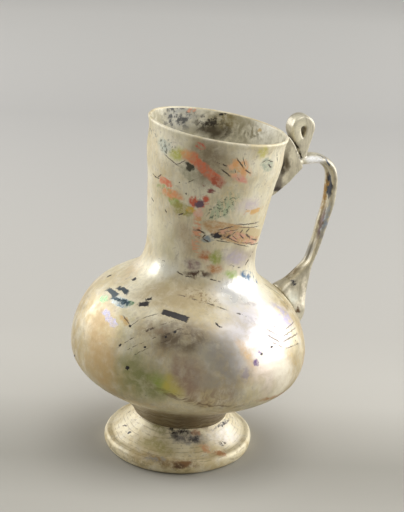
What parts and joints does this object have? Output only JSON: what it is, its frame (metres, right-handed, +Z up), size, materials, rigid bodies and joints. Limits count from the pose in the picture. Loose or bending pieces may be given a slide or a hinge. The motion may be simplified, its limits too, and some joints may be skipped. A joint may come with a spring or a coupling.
{
  "type": "blown glass jug",
  "caption": "Small leaning blown-glass jug with a tall flared neck, squat body, splayed foot and one handle folded into a thumb loop.",
  "frame": {"origin": "on the surface the jug stands on, below the middle of its length with the handle and of its width", "axes": "+Z up, +X towards the handle, +Y to the left of the handle seen from the mouth"},
  "size_m": [0.1014, 0.0872, 0.1273],
  "materials": {
    "vessel_glass": "opaque cream weathering with pearly patches and dark flakes",
    "foot_glass": "opaque cream weathering, pitted and stained near the stem",
    "handle_glass": "silvery and olive-brown weathering"
  },
  "bodies": {
    "root": {"vessel": "vessel_glass", "foot": "foot_glass", "handle": "handle_glass"}
  },
  "joints": []
}
